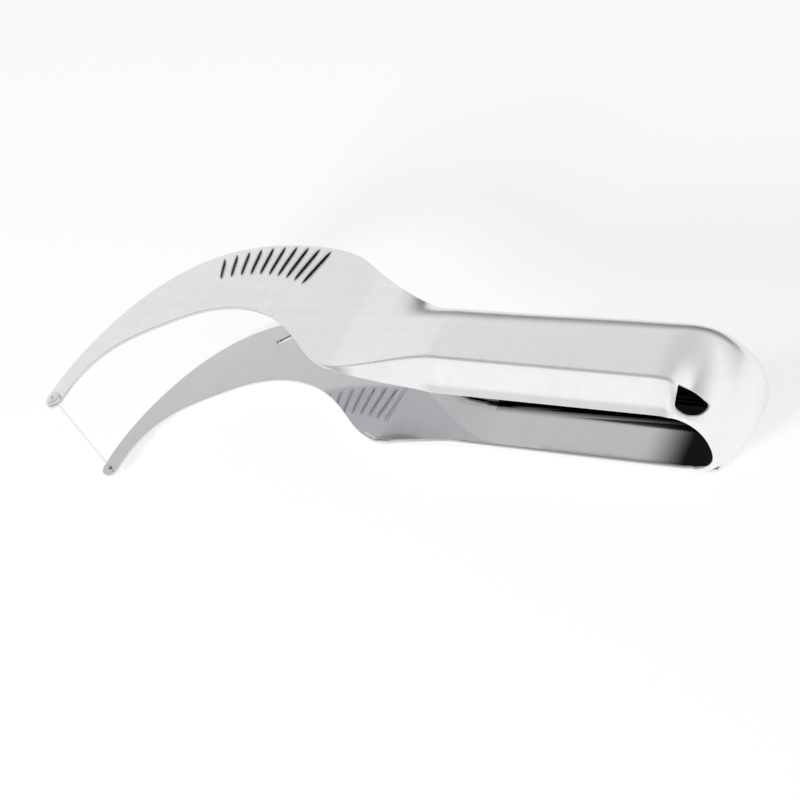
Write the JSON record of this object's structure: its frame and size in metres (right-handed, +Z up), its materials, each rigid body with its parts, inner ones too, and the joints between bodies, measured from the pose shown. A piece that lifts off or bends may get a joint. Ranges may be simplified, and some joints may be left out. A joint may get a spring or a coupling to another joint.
{
  "type": "watermelon slicer",
  "caption": "Sprung steel melon slicer and server: mirrored grip halves joined by a rounded tail, hooked blades with a thin wire strung between their tips, ribbed heads.",
  "frame": {"origin": "on the surface that the tool lies on, under the middle of its overall box", "axes": "+X along the tool towards the rounded tail, +Y from the blade tips towards the top of the heads, +Z up from the surface, across the two arms"},
  "size_m": [0.2316, 0.0734, 0.045],
  "materials": {
    "steel": "satin outside, polished inside",
    "wire": "bright drawn wire",
    "stud": "polished"
  },
  "bodies": {
    "tail": {"tail_spring": "steel"},
    "right_side": {"right_arm": "steel", "right_wire_stud": "stud"},
    "left_side": {"left_arm": "steel", "left_wire_stud": "stud", "cutting_wire": "wire"}
  },
  "joints": [
    {"name": "right_arm_flex", "type": "hinge", "parent": "tail", "child": "right_side", "pos_m": [0.10118, 0, 0.00196], "axis": [0, 1, 0], "range_deg": [0, 4], "stiffness_Nm_per_rad": 10},
    {"name": "left_arm_flex", "type": "hinge", "parent": "tail", "child": "left_side", "pos_m": [0.10118, 0, 0.04304], "axis": [0, -1, 0], "range_deg": [0, 4], "stiffness_Nm_per_rad": 10, "deforming": ["cutting_wire"]}
  ],
  "couplings": [
    {"joint": "left_arm_flex", "follows": "right_arm_flex", "ratio": 1}
  ]
}
